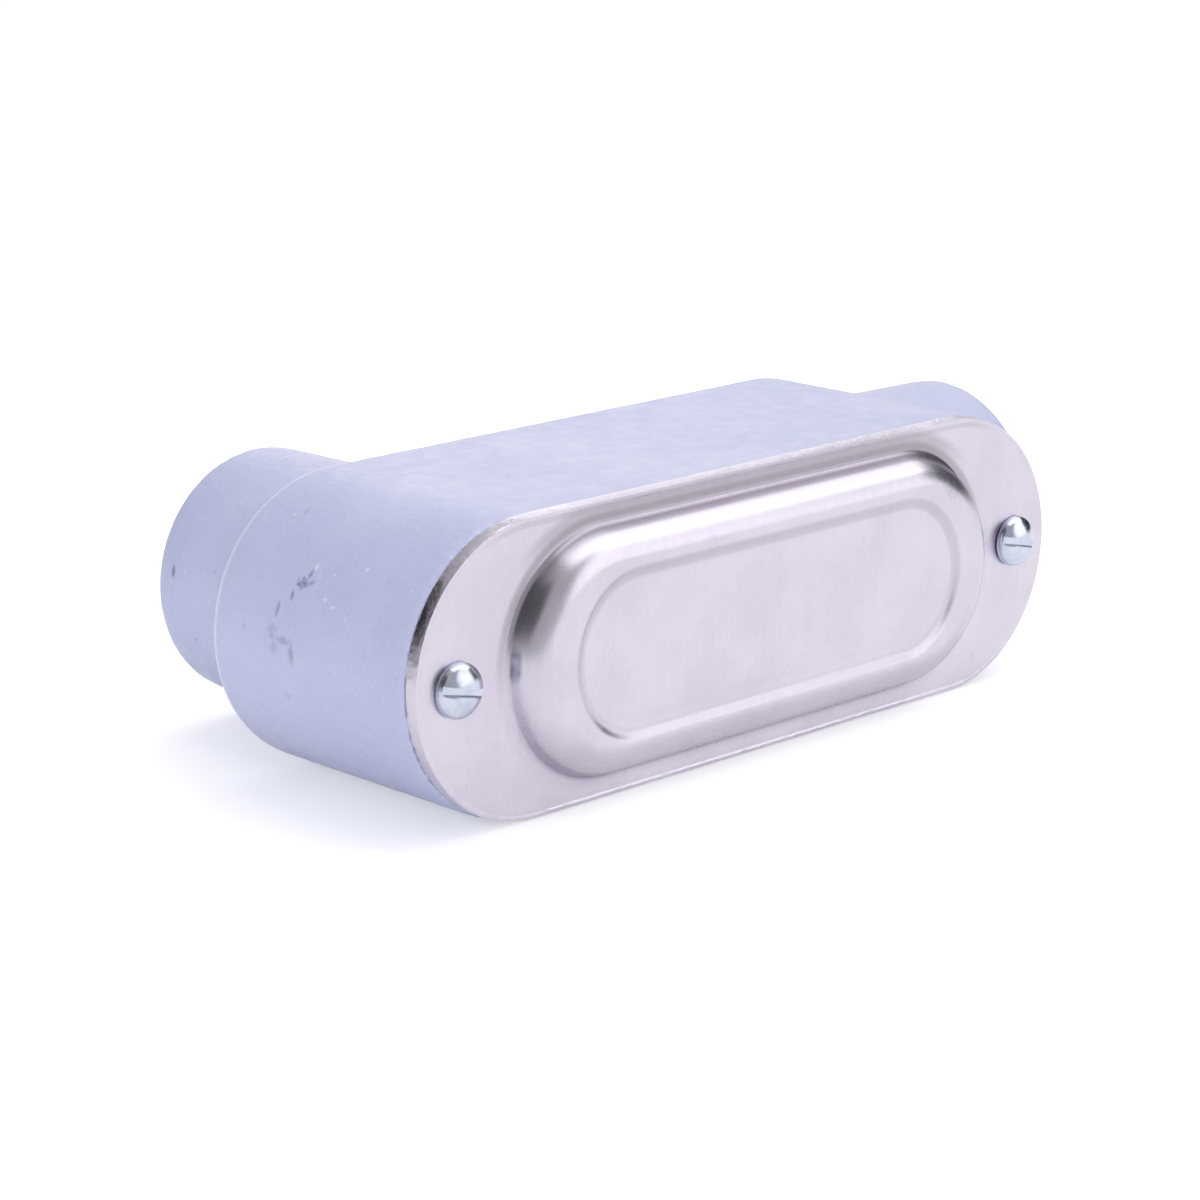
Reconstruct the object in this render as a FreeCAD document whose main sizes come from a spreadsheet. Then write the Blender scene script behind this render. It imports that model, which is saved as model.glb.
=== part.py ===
import FreeCAD, Part
import math
import os
import Sketcher
from FreeCAD import Vector

# A conduit body: a round-ended cast box that turns a run of electrical conduit through a right angle.
# One threaded hub stands on the back, near the left end, and one goes out of the right end.
# A pressed steel cover closes the open front, held by a round-headed screw at each end.
# Inside its own frame every piece has X along the box, Y from front to back and Z across it,
# with Y = 0 on the rim that the cover seats on.

SIZES = [
    ("body_length", 118.0, "cast box, end to end"),
    ("body_width", 38.8, "cast box, side to side"),
    ("body_depth", 37.4, "cast box, cover seat to back face"),
    ("side_wall", 3.2, "wall of the box"),
    ("back_wall", 3.2, "floor of the box"),
    ("back_edge_bevel", 0.7, "where the sides turn into the back"),
    ("floor_bevel", 1.8, "inside, where the sides turn into the floor"),
    ("hub_wall", 3.7, "wall of both hubs round the thread, at the mouth"),
    ("hub_draft", 0.3, "growth of a hub's wall from its mouth to its root"),
    ("hub_mouth_bevel", 1.1, "outer edge of both mouths"),
    ("back_hub_setin", 26.4, "left end of the box to the axis of the back hub"),
    ("back_hub_reach", 24.0, "back face to the mouth of the back hub"),
    ("back_hub_foot", 1.1, "bevel where the back hub meets the back face"),
    ("end_hub_depth", 24.1, "cover seat to the axis of the end hub"),
    ("end_hub_reach", 8.6, "right end of the box to the mouth of the end hub"),
    ("fairing_length", 16.0, "swelling on the back that runs out from the end hub"),
    ("fairing_fade", 0.8, "depth of the swelling's far end under the back face"),
    ("thread_diameter", 26.4, "threaded bores"),
    ("end_thread_length", 18.0, "thread of the end hub"),
    ("back_thread_length", 20.0, "thread of the back hub"),
    ("mouth_chamfer", 0.8, "lead-in of both threads"),
    ("throat_diameter", 20.8, "smooth throat inside each thread"),
    ("throat_shoulder", 1.4, "cone between thread and throat"),
    ("end_throat_length", 2.4, "throat of the end hub"),
    ("throat_lip", 1.5, "flared lip where wires pass into a throat"),
    ("dip_margin", 0.3, "floor dip beyond the lip of the end throat"),
    ("screw_setin", 6.9, "end of the box to the axis of a cover screw"),
    ("screw_diameter", 4.1, "shank of the cover screws"),
    ("screw_length", 9.5, "shank under the head"),
    ("screw_tip_chamfer", 0.5, "end of the shank"),
    ("tapped_spare", 1.0, "screw hole beyond the tip of the screw"),
    ("tapped_clearance", 0.05, "all round the shank in the boss"),
    ("boss_diameter", 9.6, "screw boss"),
    ("boss_floor", 1.4, "screw boss under its hole, down to its pointed foot"),
    ("head_diameter", 7.1, "screw head"),
    ("head_height", 2.3, "screw head, seat to crown"),
    ("head_edge", 0.8, "upright edge of the screw head"),
    ("slot_width", 1.1, "screwdriver slot"),
    ("slot_depth", 1.2, "screwdriver slot"),
    ("slot_turn", 13.0, "how far the slots are turned down to the right, in degrees"),
    ("cover_end_inset", 0.4, "cover inside the end of the box"),
    ("cover_side_inset", 0.2, "cover inside the side of the box"),
    ("sheet", 1.9, "thickness of the cover's steel"),
    ("cover_edge_bevel", 0.6, "front edge of the cover"),
    ("cover_hole_clearance", 0.35, "all round the shank in the cover"),
    ("dome_head_gap", 4.6, "screw head to the foot of the dome"),
    ("dome_rim", 3.0, "flat rim of the cover beside the dome"),
    ("dome_height", 4.2, "raised middle above the flat of the cover"),
    ("dome_taper", 20.0, "lean of the dome's sides, in degrees"),
    ("dome_shoulder_round", 2.6, "radius over the dome's shoulder"),
    ("panel_end_rim", 8.2, "foot of the dome to the end of the sunk panel"),
    ("panel_side_rim", 5.2, "foot of the dome to the side of the sunk panel"),
    ("panel_sink", 0.5, "panel below the crest of the dome"),
    ("panel_taper", 68.0, "lean of the panel's step, in degrees"),
]

# Sizes that follow from the ones above, so that what fits together changes together.
HUB_RADIUS = "(sizes.thread_diameter / 2 + sizes.hub_wall)"
HUB_ROOT_RADIUS = f"({HUB_RADIUS} + sizes.hub_draft)"
END_HUB_LENGTH = "(sizes.end_thread_length + sizes.throat_shoulder + sizes.end_throat_length)"
BACK_HUB_LENGTH = "(sizes.back_wall + sizes.back_hub_reach)"
SCREW_SPACING = "(sizes.body_length - 2 * sizes.screw_setin)"
TAPPED_DEPTH = "(sizes.screw_length - sizes.sheet + sizes.tapped_spare)"
COVER_LENGTH = "(sizes.body_length - 2 * sizes.cover_end_inset)"
COVER_WIDTH = "(sizes.body_width - 2 * sizes.cover_side_inset)"
DOME_LENGTH = f"({SCREW_SPACING} - sizes.head_diameter - 2 * sizes.dome_head_gap)"
DOME_WIDTH = f"({COVER_WIDTH} - 2 * sizes.dome_rim)"
PANEL_LENGTH = f"({DOME_LENGTH} - 2 * sizes.panel_end_rim)"
PANEL_WIDTH = f"({DOME_WIDTH} - 2 * sizes.panel_side_rim)"

document = FreeCAD.newDocument("conduit_body")
sizes = document.addObject("Spreadsheet::Sheet", "sizes")
for row, (alias, size, note) in enumerate(SIZES, start=1):
    sizes.set(f"A{row}", note)
    sizes.set(f"B{row}", str(size))
    sizes.setAlias(f"B{row}", alias)
document.recompute()


def worth(expression):
    """The number that an expression over the sheet comes to."""
    return float(sizes.evalExpression(expression))


def new_body(name):
    """A piece of the object, placed so that the whole part stands centred on the origin."""
    body = document.addObject("PartDesign::Body", name)
    body.Label = name
    body.setExpression("Placement.Base.x", "-sizes.end_hub_reach / 2")
    body.setExpression(
        "Placement.Base.y",
        "(sizes.sheet + sizes.dome_height - sizes.body_depth - sizes.back_hub_reach) / 2",
    )
    body.setExpression("Placement.Base.z", "sizes.body_width / 2")
    return body


def origin_plane(body, role):
    """One of the body's own origin planes."""
    return next(item for item in body.Origin.OriginFeatures if item.Role == role)


def new_sketch(body, role, name, **shifts):
    """A sketch on an origin plane, shifted along its own axes by expressions over the sheet."""
    sketch = body.newObject("Sketcher::SketchObject", name)
    sketch.AttachmentSupport = [(origin_plane(body, role), "")]
    sketch.MapMode = "FlatFace"
    for axis, expression in shifts.items():
        sketch.setExpression(f"AttachmentOffset.Base.{axis}", expression)
    return sketch


def bind(sketch, constraint, name, expression):
    """Add a dimension to a sketch and tie it to the sheet."""
    index = sketch.addConstraint(constraint)
    sketch.renameConstraint(index, name)
    sketch.setExpression(f".Constraints.{name}", expression)


def pin_point(sketch, line, point, across, up, name):
    """Dimension one end of a line from the sketch's axes, or lay it on an axis where it is at zero."""
    if across == "0":
        sketch.addConstraint(Sketcher.Constraint("PointOnObject", line, point, -2))
    else:
        distance = Sketcher.Constraint("DistanceX", -1, 1, line, point, worth(across))
        bind(sketch, distance, f"{name}_across", across)
    if up == "0":
        sketch.addConstraint(Sketcher.Constraint("PointOnObject", line, point, -1))
    else:
        distance = Sketcher.Constraint("DistanceY", -1, 1, line, point, worth(up))
        bind(sketch, distance, f"{name}_up", up)


def draw_outline(sketch, corners):
    """A closed outline of straight lines through corners given as pairs of expressions."""
    points = [Vector(worth(across), worth(up), 0) for across, up in corners]
    lines = []
    for start, end in zip(points, points[1:] + points[:1]):
        lines.append(sketch.addGeometry(Part.LineSegment(start, end)))
    for line, following in zip(lines, lines[1:] + lines[:1]):
        sketch.addConstraint(Sketcher.Constraint("Coincident", line, 2, following, 1))
    for number, (line, (across, up)) in enumerate(zip(lines, corners), start=1):
        pin_point(sketch, line, 1, across, up, f"corner_{number}")


def draw_obround(sketch, length, width):
    """A round-ended outline centred on the sketch: two straight sides joined by half circles."""
    radius = worth(width) / 2
    reach = worth(length) / 2 - radius
    upright = Vector(0, 0, 1)
    right_circle = Part.Circle(Vector(reach, 0, 0), upright, radius)
    left_circle = Part.Circle(Vector(-reach, 0, 0), upright, radius)
    right = sketch.addGeometry(Part.ArcOfCircle(right_circle, -math.pi / 2, math.pi / 2))
    upper = sketch.addGeometry(Part.LineSegment(Vector(reach, radius, 0), Vector(-reach, radius, 0)))
    left = sketch.addGeometry(Part.ArcOfCircle(left_circle, math.pi / 2, 3 * math.pi / 2))
    lower = sketch.addGeometry(Part.LineSegment(Vector(-reach, -radius, 0), Vector(reach, -radius, 0)))
    for first, second in ((right, upper), (upper, left), (left, lower), (lower, right)):
        sketch.addConstraint(Sketcher.Constraint("Tangent", first, 2, second, 1))
    sketch.addConstraint(Sketcher.Constraint("Equal", right, left))
    sketch.addConstraint(Sketcher.Constraint("PointOnObject", right, 3, -1))
    sketch.addConstraint(Sketcher.Constraint("Symmetric", right, 3, left, 3, -1, 1))
    bind(sketch, Sketcher.Constraint("Radius", right, radius), "end_radius", f"({width}) / 2")
    distance = Sketcher.Constraint("DistanceX", left, 3, right, 3, 2 * reach)
    bind(sketch, distance, "centre_distance", f"{length} - ({width})")


def draw_screw_circles(sketch, diameter):
    """The two circles that the cover screws pass through, on the long axis of the sketch."""
    radius = worth(diameter) / 2
    place = worth(f"{SCREW_SPACING} / 2")
    circles = []
    for side in (-1, 1):
        circle = Part.Circle(Vector(side * place, 0, 0), Vector(0, 0, 1), radius)
        circles.append(sketch.addGeometry(circle))
    left, right = circles
    sketch.addConstraint(Sketcher.Constraint("Equal", left, right))
    sketch.addConstraint(Sketcher.Constraint("PointOnObject", right, 3, -1))
    sketch.addConstraint(Sketcher.Constraint("Symmetric", left, 3, right, 3, -1, 1))
    bind(sketch, Sketcher.Constraint("Radius", right, radius), "hole_radius", f"({diameter}) / 2")
    distance = Sketcher.Constraint("DistanceX", left, 3, right, 3, 2 * place)
    bind(sketch, distance, "hole_spacing", SCREW_SPACING)


def extrude(body, kind, sketch, name, length, backwards=False, taper=None):
    """A pad or a pocket from a sketch, to a length from the sheet."""
    feature = body.newObject(f"PartDesign::{kind}", name)
    feature.Profile = sketch
    feature.setExpression("Length", length)
    feature.Reversed = backwards
    if taper:
        feature.setExpression("TaperAngle", taper)
    document.recompute()
    return feature


def turn(body, kind, sketch, name, axis):
    """A full revolution or groove of a sketch about one of its own axes."""
    feature = body.newObject(f"PartDesign::{kind}", name)
    feature.Profile = sketch
    feature.ReferenceAxis = (sketch, [axis])
    feature.Angle = 360
    document.recompute()
    return feature


def ease_edges(body, kind, name, size, axis, place):
    """A fillet or a chamfer on the edges that lie flat at a place along an axis, such as y = 5."""
    base = body.Tip
    names = []
    for number, edge in enumerate(base.Shape.Edges, start=1):
        low = getattr(edge.BoundBox, f"{axis.upper()}Min")
        high = getattr(edge.BoundBox, f"{axis.upper()}Max")
        if abs(low - place) < 0.01 and abs(high - place) < 0.01:
            names.append(f"Edge{number}")
    if not names:
        raise RuntimeError(f"{name}: no edge there")
    feature = body.newObject(f"PartDesign::{kind}", name)
    feature.Base = (base, names)
    feature.setExpression("Radius" if kind == "Fillet" else "Size", size)
    document.recompute()
    return feature


def cut_bore(body, hub, axis, place, length, thread_length):
    """The bore of a hub, from its inner face out: flared lip, throat, cone, thread and lead-in chamfer."""
    throat = "sizes.throat_diameter / 2"
    thread = "sizes.thread_diameter / 2"
    corners = [
        ("-sizes.throat_lip", "0"),
        ("-sizes.throat_lip", f"{throat} + 2 * sizes.throat_lip"),
        ("sizes.throat_lip", throat),
        (f"{length} - {thread_length} - sizes.throat_shoulder", throat),
        (f"{length} - {thread_length}", thread),
        (f"{length} - sizes.mouth_chamfer", thread),
        (length, f"{thread} + sizes.mouth_chamfer"),
        (length, "0"),
    ]
    if axis == "V_Axis":
        corners = [(out, along) for along, out in corners]
    sketch = new_sketch(body, "XY_Plane", f"{hub}_bore_profile", **place)
    draw_outline(sketch, corners)
    turn(body, "Groove", sketch, f"{hub}_bore", axis)


def build_body_casting():
    """The cast iron box with both hubs, the screw bosses and the wiring chamber, in one piece."""
    body = new_body("body_casting")
    back = worth("sizes.body_depth")
    floor = worth("sizes.body_depth - sizes.back_wall")

    sketch = new_sketch(body, "XZ_Plane", "box_outline")
    draw_obround(sketch, "sizes.body_length", "sizes.body_width")
    extrude(body, "Pad", sketch, "box", "sizes.body_depth", backwards=True)
    ease_edges(body, "Chamfer", "back_edge", "sizes.back_edge_bevel", "y", back)

    # The end hub is deeper than the box, so its wall swells out of the back and fades to nothing there.
    face_inside = f"sizes.body_length / 2 + sizes.end_hub_reach - {END_HUB_LENGTH}"
    end_place = {"x": face_inside, "y": "sizes.end_hub_depth"}
    sketch = new_sketch(body, "XY_Plane", "fairing_profile", **end_place)
    runout = "sizes.body_depth - sizes.end_hub_depth - sizes.fairing_fade"
    draw_outline(sketch, [
        ("0", "0"),
        ("0", HUB_ROOT_RADIUS),
        ("-sizes.fairing_length", runout),
        ("-sizes.fairing_length", "0"),
    ])
    turn(body, "Revolution", sketch, "fairing", "H_Axis")

    sketch = new_sketch(body, "XZ_Plane", "chamber_outline")
    draw_obround(
        sketch,
        "sizes.body_length - 2 * sizes.side_wall",
        "sizes.body_width - 2 * sizes.side_wall",
    )
    extrude(body, "Pocket", sketch, "chamber", "sizes.body_depth - sizes.back_wall")
    ease_edges(body, "Chamfer", "chamber_floor", "sizes.floor_bevel", "y", floor)

    sketch = new_sketch(body, "XY_Plane", "end_hub_profile", **end_place)
    draw_outline(sketch, [
        ("0", "0"),
        (END_HUB_LENGTH, "0"),
        (END_HUB_LENGTH, f"{HUB_RADIUS} - sizes.hub_mouth_bevel"),
        (f"{END_HUB_LENGTH} - sizes.hub_mouth_bevel", HUB_RADIUS),
        ("0", HUB_ROOT_RADIUS),
    ])
    turn(body, "Revolution", sketch, "end_hub", "H_Axis")

    # The profile of the back hub starts inside the floor, and its foot flares out onto the back face.
    floor_level = "sizes.body_depth - sizes.back_wall"
    back_place = {"x": "sizes.back_hub_setin - sizes.body_length / 2", "y": floor_level}
    sketch = new_sketch(body, "XY_Plane", "back_hub_profile", **back_place)
    draw_outline(sketch, [
        ("0", "0"),
        (f"{HUB_ROOT_RADIUS} + sizes.back_hub_foot", "0"),
        (f"{HUB_ROOT_RADIUS} + sizes.back_hub_foot", "sizes.back_wall"),
        (HUB_ROOT_RADIUS, "sizes.back_wall + sizes.back_hub_foot"),
        (HUB_RADIUS, f"{BACK_HUB_LENGTH} - sizes.hub_mouth_bevel"),
        (f"{HUB_RADIUS} - sizes.hub_mouth_bevel", BACK_HUB_LENGTH),
        ("0", BACK_HUB_LENGTH),
    ])
    turn(body, "Revolution", sketch, "back_hub", "V_Axis")

    # A boss for each cover screw grows out of the end walls and ends in a cone, as a core leaves it.
    boss_depth = f"{TAPPED_DEPTH} + sizes.boss_floor"
    sketch = new_sketch(body, "XY_Plane", "boss_profile", x=f"-{SCREW_SPACING} / 2")
    draw_outline(sketch, [
        ("0", "0"),
        ("sizes.boss_diameter / 2", "0"),
        ("sizes.boss_diameter / 2", boss_depth),
        ("0", f"{boss_depth} + sizes.boss_diameter / 2"),
    ])
    boss = turn(body, "Revolution", sketch, "screw_boss", "V_Axis")
    both = body.newObject("PartDesign::Mirrored", "screw_bosses")
    both.Originals = [boss]
    both.MirrorPlane = (origin_plane(body, "YZ_Plane"), [""])
    body.Tip = both
    document.recompute()

    # The floor dips towards the end hub, so that wires lie straight into its throat.
    sketch = new_sketch(body, "XY_Plane", "dip_profile", **end_place)
    draw_outline(sketch, [
        ("0", "0"),
        ("0", "sizes.throat_diameter / 2 + sizes.throat_lip + sizes.dip_margin"),
        ("-sizes.fairing_length", f"{floor_level} - sizes.end_hub_depth - sizes.dip_margin"),
        ("-sizes.fairing_length", "0"),
    ])
    turn(body, "Groove", sketch, "floor_dip", "H_Axis")

    cut_bore(body, "end", "H_Axis", end_place, END_HUB_LENGTH, "sizes.end_thread_length")
    cut_bore(body, "back", "V_Axis", back_place, BACK_HUB_LENGTH, "sizes.back_thread_length")

    sketch = new_sketch(body, "XZ_Plane", "tapped_hole_circles")
    draw_screw_circles(sketch, "sizes.screw_diameter + 2 * sizes.tapped_clearance")
    extrude(body, "Pocket", sketch, "tapped_holes", TAPPED_DEPTH)
    return body


def build_cover():
    """The cover, pressed from one sheet: a flat rim, a raised dome and a panel sunk into the dome."""
    body = new_body("cover")
    front = -worth("sizes.sheet")
    crest = -worth("sizes.sheet + sizes.dome_height")

    sketch = new_sketch(body, "XZ_Plane", "blank_outline")
    draw_obround(sketch, COVER_LENGTH, COVER_WIDTH)
    extrude(body, "Pad", sketch, "blank", "sizes.sheet")
    ease_edges(body, "Chamfer", "blank_edge", "sizes.cover_edge_bevel", "y", front)

    sketch = new_sketch(body, "XZ_Plane", "dome_outline", z="sizes.sheet")
    draw_obround(sketch, DOME_LENGTH, DOME_WIDTH)
    extrude(body, "Pad", sketch, "dome", "sizes.dome_height", taper="-sizes.dome_taper")
    ease_edges(body, "Fillet", "dome_shoulder", "sizes.dome_shoulder_round", "y", crest)

    sketch = new_sketch(body, "XZ_Plane", "panel_outline", z="sizes.sheet + sizes.dome_height")
    draw_obround(sketch, PANEL_LENGTH, PANEL_WIDTH)
    extrude(body, "Pocket", sketch, "panel", "sizes.panel_sink", taper="-sizes.panel_taper")

    # The back follows the front one sheet's thickness behind it.
    lean = "sizes.dome_taper * 1 deg"
    inset = f"2 * sizes.sheet * (1 - sin({lean})) / cos({lean})"
    sketch = new_sketch(body, "XZ_Plane", "hollow_outline")
    draw_obround(sketch, f"{DOME_LENGTH} - {inset}", f"{DOME_WIDTH} - {inset}")
    extrude(body, "Pocket", sketch, "hollow", "sizes.dome_height", backwards=True, taper="-sizes.dome_taper")
    sketch = new_sketch(body, "XZ_Plane", "panel_back_outline", z="sizes.dome_height")
    draw_obround(sketch, PANEL_LENGTH, PANEL_WIDTH)
    extrude(
        body, "Pad", sketch, "panel_back", "sizes.panel_sink",
        backwards=True, taper="-sizes.panel_taper",
    )

    sketch = new_sketch(body, "XZ_Plane", "hole_circles")
    draw_screw_circles(sketch, "sizes.screw_diameter + 2 * sizes.cover_hole_clearance")
    extrude(body, "Pocket", sketch, "holes", "sizes.sheet", backwards=True)
    return body


def draw_screw(sketch):
    """Half of a screw's section: a domed head above the seat, and a shank with a chamfered tip."""
    head = worth("sizes.head_diameter") / 2
    rise = worth("sizes.head_height - sizes.head_edge")
    crown = (head ** 2 + rise ** 2) / (2 * rise)
    centre = Vector(0, crown - worth("sizes.head_height"), 0)
    rim_angle = math.atan2(-worth("sizes.head_edge") - centre.y, head)
    circle = Part.Circle(centre, Vector(0, 0, 1), crown)
    arc = sketch.addGeometry(Part.ArcOfCircle(circle, -math.pi / 2, rim_angle))
    corners = [
        ("sizes.head_diameter / 2", "-sizes.head_edge"),
        ("sizes.head_diameter / 2", "0"),
        ("sizes.screw_diameter / 2", "0"),
        ("sizes.screw_diameter / 2", "sizes.screw_length - sizes.screw_tip_chamfer"),
        ("sizes.screw_diameter / 2 - sizes.screw_tip_chamfer", "sizes.screw_length"),
        ("0", "sizes.screw_length"),
        ("0", "-sizes.head_height"),
    ]
    points = [Vector(worth(across), worth(up), 0) for across, up in corners]
    lines = []
    for start, end in zip(points, points[1:]):
        lines.append(sketch.addGeometry(Part.LineSegment(start, end)))
    sketch.addConstraint(Sketcher.Constraint("Coincident", arc, 2, lines[0], 1))
    for line, following in zip(lines, lines[1:]):
        sketch.addConstraint(Sketcher.Constraint("Coincident", line, 2, following, 1))
    sketch.addConstraint(Sketcher.Constraint("Coincident", lines[-1], 2, arc, 1))
    sketch.addConstraint(Sketcher.Constraint("PointOnObject", arc, 3, -2))
    for number, (line, (across, up)) in enumerate(zip(lines, corners), start=1):
        pin_point(sketch, line, 1, across, up, f"corner_{number}")
    pin_point(sketch, lines[-1], 2, *corners[-1], "crown")


def build_cover_screw(name, side):
    """A round-headed slotted screw, seated on the cover and driven into its boss."""
    body = new_body(name)
    body.setExpression("Placement.Base.x", f"({side} * {SCREW_SPACING} - sizes.end_hub_reach) / 2")
    body.setExpression(
        "Placement.Base.y",
        "(sizes.dome_height - sizes.sheet - sizes.body_depth - sizes.back_hub_reach) / 2",
    )
    body.Placement.Rotation.Axis = Vector(0, 1, 0)
    body.setExpression("Placement.Rotation.Angle", "sizes.slot_turn")

    sketch = new_sketch(body, "XY_Plane", "screw_profile")
    draw_screw(sketch)
    turn(body, "Revolution", sketch, "screw", "V_Axis")

    sketch = new_sketch(body, "XZ_Plane", "slot_outline", z="sizes.head_height")
    draw_outline(sketch, [
        ("-sizes.head_diameter / 2", "-sizes.slot_width / 2"),
        ("sizes.head_diameter / 2", "-sizes.slot_width / 2"),
        ("sizes.head_diameter / 2", "sizes.slot_width / 2"),
        ("-sizes.head_diameter / 2", "sizes.slot_width / 2"),
    ])
    extrude(body, "Pocket", sketch, "slot", "sizes.slot_depth")
    return body


pieces = [
    build_body_casting(),
    build_cover(),
    build_cover_screw("left_cover_screw", -1),
    build_cover_screw("right_cover_screw", 1),
]
document.recompute()

for item in document.Objects:
    if "Invalid" in item.State or "Error" in item.State:
        raise RuntimeError(f"{item.Label} failed: {item.State}")
for piece in pieces:
    if piece.Shape.isNull() or not piece.Shape.isValid():
        raise RuntimeError(f"{piece.Label} has no valid shape")

os.makedirs("parts", exist_ok=True)
for piece in pieces:
    piece.Shape.exportStep(os.path.join("parts", f"{piece.Label}.step"))
    print(f"{piece.Label}: {piece.Shape.Volume:.0f} mm3")
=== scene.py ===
import math
import bmesh
import bpy
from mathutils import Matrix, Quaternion, Vector


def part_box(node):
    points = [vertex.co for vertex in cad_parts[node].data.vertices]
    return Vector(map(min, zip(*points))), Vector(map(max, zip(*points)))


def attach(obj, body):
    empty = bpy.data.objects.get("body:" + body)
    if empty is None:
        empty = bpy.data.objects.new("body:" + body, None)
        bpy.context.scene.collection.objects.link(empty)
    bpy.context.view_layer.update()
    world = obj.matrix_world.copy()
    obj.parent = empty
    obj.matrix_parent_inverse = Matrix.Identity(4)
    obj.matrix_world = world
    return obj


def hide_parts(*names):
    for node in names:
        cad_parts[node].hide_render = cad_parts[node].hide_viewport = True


# A conduit body of painted cast iron with a pressed steel cover and two slotted screws.
# Each piece is modelled in millimetres about the middle of the cover seat, then brought into the frame.
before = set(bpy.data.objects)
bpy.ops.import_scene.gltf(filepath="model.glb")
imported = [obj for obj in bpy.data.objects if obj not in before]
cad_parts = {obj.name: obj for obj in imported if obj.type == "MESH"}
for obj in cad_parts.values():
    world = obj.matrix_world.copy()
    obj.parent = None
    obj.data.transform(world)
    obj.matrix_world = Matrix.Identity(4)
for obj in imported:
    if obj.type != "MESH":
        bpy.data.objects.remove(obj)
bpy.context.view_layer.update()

# The body is cast iron: a round-ended box, a hub on its back and a hub out of its right end.
# Sand leaves its skin slightly grained and every edge soft, and the bores are cut after that.
# It is painted all over in pale blue grey, and handling has chipped and rubbed the paint; a paler line along
# the back edge of the left end is a painted highlight.
MM = 0.001
CASTING_LOW, CASTING_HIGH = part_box("body_casting")
END_HUB_REACH = 8.6
BOX_LENGTH = (CASTING_HIGH[0] - CASTING_LOW[0]) / MM - END_HUB_REACH
BOX_WIDTH = (CASTING_HIGH[2] - CASTING_LOW[2]) / MM
BOX_DEPTH = 37.4
SEAT_MIDDLE = Vector((
    CASTING_LOW[0] + BOX_LENGTH / 2 * MM,
    CASTING_LOW[1],
    (CASTING_LOW[2] + CASTING_HIGH[2]) / 2,
))
WALL = 3.2
BACK_ROUNDING = 0.9
HUB_RADIUS = 16.9
HUB_ROOT_RADIUS = 17.2
HUB_FOOT_ROUNDING = 1.3
MOUTH_ROUNDING = 1.2
BACK_HUB_X = 26.4 - BOX_LENGTH / 2
BACK_HUB_REACH = 24.0
END_HUB_Y = 24.1
END_HUB_LENGTH = 21.8
END_HUB_INNER_X = BOX_LENGTH / 2 + END_HUB_REACH - END_HUB_LENGTH
FAIRING_LENGTH = 16.0
FAIRING_FADE = 0.8
FAIRING_SWELL = 1.6
FAIRING_SWELL_AT = 0.55
FAIRING_OVERLAP = 4
ARC_STEPS = 128


def settle(name):
    """Name the new object and put its place, turn and scale into its mesh."""
    piece = bpy.context.active_object
    piece.name = name
    piece.data.name = name
    bpy.ops.object.transform_apply(location=True, rotation=True, scale=True)
    return piece


def pick(piece, wanted):
    """In edit mode, select the vertices of a piece whose place passes a test."""
    bpy.ops.mesh.select_mode(type="VERT")
    shape = bmesh.from_edit_mesh(piece.data)
    for vertex in shape.verts:
        vertex.select = wanted(vertex.co)
    shape.select_flush_mode()
    bmesh.update_edit_mesh(piece.data)


def shift(x, y, z):
    """Move what is selected."""
    bpy.ops.transform.translate(value=(x, y, z))


def pull_ends_apart(piece, reach):
    """Turn a circle or cylinder about Y into a round-ended one, by moving its halves apart."""
    bpy.ops.object.mode_set(mode="EDIT")
    pick(piece, lambda p: p.x > 0)
    shift(reach, 0, 0)
    pick(piece, lambda p: p.x < 0)
    shift(-reach, 0, 0)
    bpy.ops.object.mode_set(mode="OBJECT")


def add_block(name, half_length, half_width, front, back):
    """A round-ended block between two depths."""
    bpy.ops.object.select_all(action="DESELECT")
    bpy.ops.mesh.primitive_cylinder_add(
        vertices=ARC_STEPS,
        radius=half_width,
        depth=back - front,
        location=(0, (front + back) / 2, 0),
        rotation=(math.pi / 2, math.pi / ARC_STEPS, 0),
    )
    piece = settle(name)
    pull_ends_apart(piece, half_length - half_width)
    return piece


def ease(piece, wanted, radius, segments):
    """Round the edges between the vertices that pass a test."""
    bpy.ops.object.mode_set(mode="EDIT")
    pick(piece, wanted)
    bpy.ops.mesh.bevel(offset=radius, segments=segments, affect="EDGES")
    bpy.ops.object.mode_set(mode="OBJECT")


body_block = add_block("body_block", BOX_LENGTH / 2, BOX_WIDTH / 2, 0, BOX_DEPTH)
ease(body_block, lambda p: p.y > BOX_DEPTH - 0.1, BACK_ROUNDING, 4)


def add_turned(name, axis, start, profile):
    """A solid turned about a hub's axis, from a profile of (along, radius) pairs."""
    bpy.ops.object.select_all(action="DESELECT")
    along, radius = profile[0]
    bpy.ops.mesh.primitive_circle_add(
        vertices=ARC_STEPS,
        radius=radius,
        fill_type="NGON",
        location=start,
        rotation=(0, math.pi / 2, 0) if axis == "X" else (-math.pi / 2, 0, 0),
    )
    piece = settle(name)
    bpy.ops.object.mode_set(mode="EDIT")
    bpy.ops.mesh.select_mode(type="FACE")
    bpy.ops.mesh.select_all(action="SELECT")
    for (before, radius_before), (after, radius_after) in zip(profile, profile[1:]):
        step = after - before
        growth = radius_after / radius_before
        bpy.ops.mesh.extrude_region()
        bpy.ops.transform.translate(value=(step, 0, 0) if axis == "X" else (0, step, 0))
        bpy.ops.transform.resize(value=(1, growth, growth) if axis == "X" else (growth, 1, growth))
    bpy.ops.mesh.select_all(action="SELECT")
    bpy.ops.mesh.normals_make_consistent(inside=False)
    bpy.ops.object.mode_set(mode="OBJECT")
    return piece


def rounded_mouth(length):
    """A hub's rounded mouth as (along, radius) pairs, in six steps of fifteen degrees."""
    profile = []
    for step in range(7):
        angle = step * math.pi / 12
        along = length - MOUTH_ROUNDING * (1 - math.sin(angle))
        profile.append((along, HUB_RADIUS - MOUTH_ROUNDING * (1 - math.cos(angle))))
    return profile


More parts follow.
